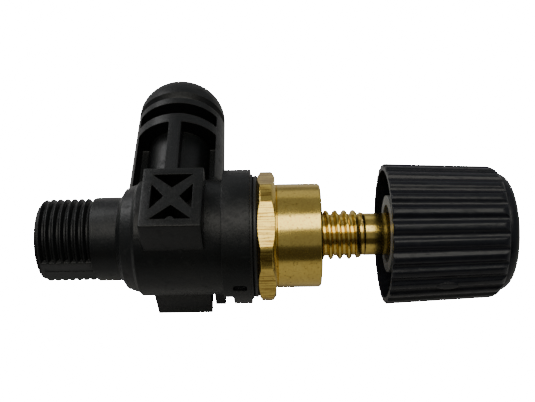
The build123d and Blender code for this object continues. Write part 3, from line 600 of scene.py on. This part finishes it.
bonnet = combined(hexagon, "UNION", turned("collar", [
    (45.5, 0), (45.5, 11.15), (46.4, 12.0), (51.0, 12.0), (51.6, 11.0), (57, 11.0),
    (57, COLLAR_RADIUS - COLLAR_RELIEF), (HEX_X[1] + 0.25, COLLAR_RADIUS - COLLAR_RELIEF),
    (HEX_X[1] + 0.45, COLLAR_RADIUS),
    (COLLAR_END - 0.45, COLLAR_RADIUS), (COLLAR_END, COLLAR_RADIUS - 0.45), (COLLAR_END, 0),
], rounding=0.1, steps=160))
combined(bonnet, "DIFFERENCE", turned("stem_bore", [
    (45, 0), (45, 9.0), (50.5, 9.0), (50.5, SEAL_LAND), (51.3, SEAL_LAND), (51.3, SEAL_GROOVE),
    (54.1, SEAL_GROOVE), (54.1, SEAL_LAND), (54.9, SEAL_LAND), (54.9, SEAL_GROOVE),
    (56.9, SEAL_GROOVE), (56.9, SEAL_LAND), (57.7, SEAL_LAND), (57.7, STEM_BORE),
    (COLLAR_END - 0.6, STEM_BORE), (COLLAR_END + 0.1, 7.1), (COLLAR_END + 1, 7.1),
    (COLLAR_END + 1, 0),
]))
closed_up(bonnet, 25)

machined_brass = Finish("machined_brass", Metallic=1.0)
rounded = machined_brass.rounded(0.16)
edges = machined_brass.edges(rounded)
across = machined_brass.node("VectorMath", {"operation": "LENGTH"}, {
    0: machined_brass.place((0, 1, 1))}, "Value")
normal_x = machined_brass.node("SeparateXYZ", {}, {
    0: machined_brass.node("NewGeometry", {}, {}, "True Normal")}, 0)
on_flats = (across > (COLLAR_RADIUS + 0.6) * MM) * machined_brass.ramp(normal_x, 0.3, 0.25)
rings = machined_brass.noise(0.22, 2.0, (1, 0.004, 0.004))
fine_rings = machined_brass.noise(0.07, 1.0, (1, 0.004, 0.004))
streaks = machined_brass.noise(0.42, 4.0, (0.06, 1, 1))
smudge = machined_brass.noise(4.5, 4.0)
mottle = machined_brass.noise(0.5, 4.0)
pits = machined_brass.ramp(machined_brass.noise(0.5, 2.0), 0.66, 0.72)
dark_lines = machined_brass.ramp(streaks, 0.47, 0.60) * on_flats
gold = machined_brass.blend(smudge, GOLD_DEEP, GOLD_PALE)
gold = machined_brass.blend(machined_brass.ramp(mottle, 0.45, 0.75) * 0.6, gold, GOLD_MOTTLE)
gold = machined_brass.blend(dark_lines * 0.9, gold, DRAWN_LINE)
gold = machined_brass.blend(pits * 0.8, gold, BRASS_PIT)
gold = machined_brass.blend(edges * 0.5, gold, BRASS_EDGE)
machined_brass.feed(
    Base_Color=gold,
    Roughness=0.18 + (smudge - 0.5) * 0.10 + (mottle - 0.5) * 0.10 + on_flats * 0.05 + pits * 0.2,
    Normal=machined_brass.relief(
        fine_rings * (1 - on_flats) * 0.3 + rings * (1 - on_flats) * 0.7 + streaks * on_flats,
        0.007, machined_brass.relief(mottle, 0.006, rounded)))
bonnet.data.materials.append(machined_brass.material)
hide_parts("bonnet")
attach(bonnet, "valve_housing")

# ---- seat and plug --------------------------------------------------------------------------
# A brass seat pressed into the body and a brass carrier that holds the rubber disc with a
# plate and a screw. A spring clip lets the carrier swivel on the stem's button.
clad(machined_brass, "seat_insert", "plug_carrier")

bright_steel = Finish("bright_steel", Metallic=1.0)
rounded = bright_steel.rounded(0.1)
brushed = bright_steel.noise(0.2, 3.0, (0.3, 1, 1))
tarnish = bright_steel.noise(1.6, 4.0)
bright_steel.feed(
    Base_Color=bright_steel.blend(tarnish, (0.42, 0.42, 0.43, 1), (0.62, 0.62, 0.63, 1)),
    Roughness=0.26 + brushed * 0.2,
    Normal=bright_steel.relief(brushed, 0.006, rounded))
clad(bright_steel, "plug_washer_plate", "plug_screw", "swivel_clip", "stem_stop_clip", "knob_screw",
     "knob_screw_washer")

# ---- brass stem -----------------------------------------------------------------------------
# One turned piece: swivel button, polished seal land, coarse right-hand thread that lifts it
# through the bonnet, plain shank and a square that drives in the knob's insert.
STEM_THREAD, STEM_ROOT, STEM_CREST, STEM_PITCH = (63.4, 79.3), 5.35, 6.35, 2.309
STEM_RADIUS, SHANK_RADIUS, SHANK_END, STEM_END = 5.0, 5.42, 96.5, 105.5
BUTTON_RADIUS, BUTTON_NECK, CLIP_GROOVE, SQUARE_HALF = 3.6, 2.4, (46.25, 47.45), 3.7

stem_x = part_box("stem")[0][0] / MM
button = stem_x + 2.0
stem = turned("rising_stem", [
    (stem_x, 0), (stem_x, BUTTON_RADIUS), (button, BUTTON_RADIUS), (button, BUTTON_NECK),
    (button + 2.1, BUTTON_NECK), (button + 2.1, STEM_RADIUS), (CLIP_GROOVE[0], STEM_RADIUS),
    (CLIP_GROOVE[0], STEM_RADIUS - 1), (CLIP_GROOVE[1], STEM_RADIUS - 1),
    (CLIP_GROOVE[1], STEM_RADIUS), (STEM_THREAD[0], STEM_RADIUS),
    (STEM_THREAD[0] + 0.8, STEM_CREST), (STEM_THREAD[1], STEM_CREST),
    (STEM_THREAD[1] + 2.7, SHANK_RADIUS), (SHANK_END, SHANK_RADIUS), (SHANK_END, 0),
], rounding=0.08, steps=96)
combined(stem, "DIFFERENCE", thread_groove(
    "stem_groove", 78.66 + STEM_PITCH * (1 + (AWAY_SIDE - VIEW_SIDE) / 360), 9, STEM_PITCH,
    STEM_ROOT, STEM_CREST, 0.6, 0.16))
combined(stem, "UNION", block(
    "square_drive", (95, -SQUARE_HALF, -SQUARE_HALF), (STEM_END, SQUARE_HALF, SQUARE_HALF),
    rounding=0.3))
combined(stem, "DIFFERENCE", turned(
    "screw_hole", [(99, 0), (99, 2.4), (107, 2.4), (107, 0)], steps=48))
closed_up(stem, 32)
stem.data.materials.append(machined_brass.material)
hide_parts("stem")
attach(stem, "knob_and_stem")

# ---- knob shell -----------------------------------------------------------------------------
# Glossy black nylon moulding with 28 finger flutes round a tapered skirt, six ribs inside and
# a boss that holds the metal insert.
RIM_X, SHOULDER_X, RIM_RADIUS, SHOULDER_RADIUS = 86.9, 114.9, 17.92, 16.7
FLUTES, STEPS_PER_FLUTE = 28, 16
FLUTE_DEPTHS = (0.78, 0.75, 0.65, 0.48, 0.26, 0.09, 0.02, 0.0, 0.0)
SKIRT_WALL, SKIRT_FLOOR = 1.6, 110.2
HUB_RADIUS, HUB_START, INSERT_RADIUS = 12.0, 97.2, 9.8
SHOULDER_ARC, SHOULDER_DROP = 2.6, 1.35
RIB_THICKNESS, RIBS_ACROSS = 1.4, 3
OVAL_X, OVAL_STRETCH, OVAL_TURN = 100.5, (2.75, 1, 1.15), 174.5
KNOB_DEEP, KNOB_PALE = (0.0026, 0.0029, 0.0046, 1), (0.0048, 0.0053, 0.0080, 1)
RUBBED_EDGE_AND_HIGHLIGHT, KNOB_SPECK = (0.055, 0.057, 0.068, 1), (0.07, 0.07, 0.075, 1)


def skirt_radius(place, inset=0.0):
    """Radius of the tapered skirt at a place on the axis."""
    share = (place - RIM_X) / (SHOULDER_X - RIM_X)
    return RIM_RADIUS + (SHOULDER_RADIUS - RIM_RADIUS) * share - inset


bpy.ops.object.select_all(action="DESELECT")
bpy.ops.mesh.primitive_cylinder_add(
    vertices=FLUTES * STEPS_PER_FLUTE, radius=RIM_RADIUS * MM, depth=(SHOULDER_X - RIM_X) * MM)
shell = bpy.context.object
shell.name = "fluted_knob"
shell.matrix_world = (
    Matrix.Translation(((RIM_X + SHOULDER_X) / 2 * MM, 0, 0))
    @ Matrix.Rotation(math.radians(90), 4, "Y"))
bpy.ops.object.transform_apply(location=True, rotation=True, scale=True)


def pick(piece, chosen):
    """In edit mode, select the points that pass a test on their place in mm."""
    bpy.ops.object.mode_set(mode="EDIT")
    bpy.ops.mesh.select_mode(type="VERT")
    bpy.ops.mesh.select_all(action="DESELECT")
    bpy.ops.object.mode_set(mode="OBJECT")
    for point in piece.data.vertices:
        point.select = chosen(point.co / MM)
    bpy.ops.object.mode_set(mode="EDIT")


def steps_from_flute(place):
    """Steps round the skirt from a point to the middle of its nearest flute."""
    turn = math.atan2(place.z, place.y) / (2 * math.pi) * FLUTES * STEPS_PER_FLUTE
    step = round(turn) % STEPS_PER_FLUTE
    return min(step, STEPS_PER_FLUTE - step)


for step, depth in enumerate(FLUTE_DEPTHS):
    if depth:
        pick(shell, lambda place: steps_from_flute(place) == step)
        shrink = 1 - depth / RIM_RADIUS
        bpy.ops.transform.resize(value=(1, shrink, shrink), center_override=(0, 0, 0))
pick(shell, lambda place: place.x > RIM_X + 1)
narrow = SHOULDER_RADIUS / RIM_RADIUS
bpy.ops.transform.resize(value=(1, narrow, narrow), center_override=(0, 0, 0))
bpy.ops.object.mode_set(mode="OBJECT")
arc_start = SHOULDER_X - SHOULDER_ARC
arc_radius = skirt_radius(arc_start) + 0.02
shoulder_arc = [
    (arc_start + SHOULDER_ARC * math.sin(turn), arc_radius - SHOULDER_DROP * (1 - math.cos(turn)))
    for turn in [math.radians(degrees) for degrees in range(0, 91, 10)]]
rim = [(RIM_X, 0), (RIM_X, RIM_RADIUS - 0.35), (RIM_X + 0.3, RIM_RADIUS)]
combined(shell, "INTERSECT", turned(
    "knob_outline", rim + shoulder_arc + [(SHOULDER_X, 0)], steps=FLUTES * STEPS_PER_FLUTE // 2))

hollow = turned("skirt_hollow", [
    (RIM_X - 1, 0), (RIM_X - 1, skirt_radius(RIM_X, SKIRT_WALL)),
    (SKIRT_FLOOR, skirt_radius(SKIRT_FLOOR, SKIRT_WALL)), (SKIRT_FLOOR, HUB_RADIUS),
    (HUB_START, HUB_RADIUS), (HUB_START, 0),
], rounding=0.3, steps=128)
for number in range(RIBS_ACROSS):
    rib = block("rib", (100.2, -20, -RIB_THICKNESS / 2), (112, 20, RIB_THICKNESS / 2))
    combined(hollow, "DIFFERENCE", turned_about_x(rib, number * 60))
combined(shell, "DIFFERENCE", hollow)
combined(shell, "DIFFERENCE", turned("insert_and_cap_seat", [
    (96, 0), (96, INSERT_RADIUS), (109.0, INSERT_RADIUS), (109.0, 5.55), (112.6, 5.55),
    (112.6, 15.2), (118, 15.2), (118, 0),
], steps=128))
oval = turned(
    "gate_oval", [(16.9, 0), (16.9, 1.0), (17.55, 1.0), (17.55, 0)], rounding=0.2, steps=48,
    about="Y")
oval.scale = OVAL_STRETCH
oval.location = (OVAL_X * MM, 0, 0)
alone(oval)
bpy.ops.object.transform_apply(location=True, rotation=False, scale=True)
combined(shell, "UNION", turned_about_x(oval, OVAL_TURN))
closed_up(shell, 30)

knob_nylon = Finish("knob_nylon", Specular_IOR_Level=0.26)
rounded = knob_nylon.rounded(0.12)
edges = knob_nylon.edges(rounded)
cloud = knob_nylon.noise(5.0, 3.0)
speckle = knob_nylon.noise(0.3, 3.0)
along = knob_nylon.noise(0.5, 3.0, (0.12, 1, 1))
rub = knob_nylon.ramp(knob_nylon.noise(1.1, 5.0, (0.5, 1, 1)), 0.56, 0.66)
specks = knob_nylon.ramp(knob_nylon.noise(0.36, 2.0), 0.71, 0.75)
# Lighter rim and flute edges: partly rubbed wear, partly a painted highlight for the lit lines
# along the ridges.
edge_wear_and_highlight = edges * knob_nylon.ramp(along, 0.45, 0.65)
black = knob_nylon.blend(cloud, KNOB_DEEP, KNOB_PALE)
black = knob_nylon.blend(edge_wear_and_highlight * 0.6, black, RUBBED_EDGE_AND_HIGHLIGHT)
black = knob_nylon.blend(specks * 0.4, black, KNOB_SPECK)
knob_nylon.feed(
    Base_Color=black,
    Roughness=0.33 + rub * 0.14 + (cloud - 0.5) * 0.1 + (speckle - 0.5) * 0.08,
    Normal=knob_nylon.relief(
        along, 0.02, knob_nylon.relief(speckle, 0.012, knob_nylon.relief(cloud, 0.2, rounded))))
shell.data.materials.append(knob_nylon.material)
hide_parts("knob_shell")
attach(shell, "knob_and_stem")

# ---- knob cap -------------------------------------------------------------------------------
# Domed plastic cap in the knob's own black, pressed into the knob's end over the screw.
CAP_X, CAP_RADIUS, CAP_WALL, CROWN_EDGE, CROWN_TOP = 112.6, 15.15, 1.5, 3.1, 118.698
crown = [
    (SHOULDER_X + CROWN_EDGE * math.sin(turn), CAP_RADIUS - CROWN_EDGE * (1 - math.cos(turn)))
    for turn in [math.radians(degrees) for degrees in range(0, 91, 10)]]
dome_start, dome_radius = SHOULDER_X + CROWN_EDGE, crown[-1][1]
dome_height = CROWN_TOP - SHOULDER_X - CROWN_EDGE
dome = [
    (dome_start + dome_height * (1 - share ** 2), dome_radius * share)
    for share in (0.85, 0.7, 0.5, 0.3, 0.15, 0)]
cap = turned("domed_cap", [(CAP_X, CAP_RADIUS - CAP_WALL), (CAP_X, CAP_RADIUS)] + crown + dome + [
    (CROWN_TOP - CAP_WALL, 0), (CROWN_TOP - 1.7, 10), (SHOULDER_X, CAP_RADIUS - CAP_WALL),
    (CAP_X, CAP_RADIUS - CAP_WALL),
], steps=128)
closed_up(cap, 32)
cap.data.materials.append(knob_nylon.material)
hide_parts("knob_cap")
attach(cap, "knob_and_stem")

# ---- knob insert and lock washer ------------------------------------------------------------
# Die-cast zinc insert, light grey and matt, broached square for the stem, with a blackened
# star washer pushed onto the shank in its recess.
zinc_casting = Finish("zinc_casting", Metallic=0.4)
rounded = zinc_casting.rounded(0.15)
skin = zinc_casting.noise(0.5, 4.0)
stain = zinc_casting.noise(3.5, 3.0)
zinc_casting.feed(
    Base_Color=zinc_casting.blend(stain, (0.10, 0.102, 0.098, 1), (0.19, 0.19, 0.18, 1)),
    Roughness=0.48 + (skin - 0.5) * 0.3,
    Normal=zinc_casting.relief(skin, 0.04, rounded))
clad(zinc_casting, "knob_insert")

black_steel = Finish("black_steel", Metallic=0.6)
rounded = black_steel.rounded(0.08)
oxide = black_steel.noise(0.6, 4.0)
black_steel.feed(
    Base_Color=black_steel.blend(oxide, (0.015, 0.015, 0.017, 1), (0.045, 0.045, 0.048, 1)),
    Roughness=0.34 + oxide * 0.2,
    Normal=black_steel.relief(oxide, 0.01, rounded))
clad(black_steel, "star_lock_washer")
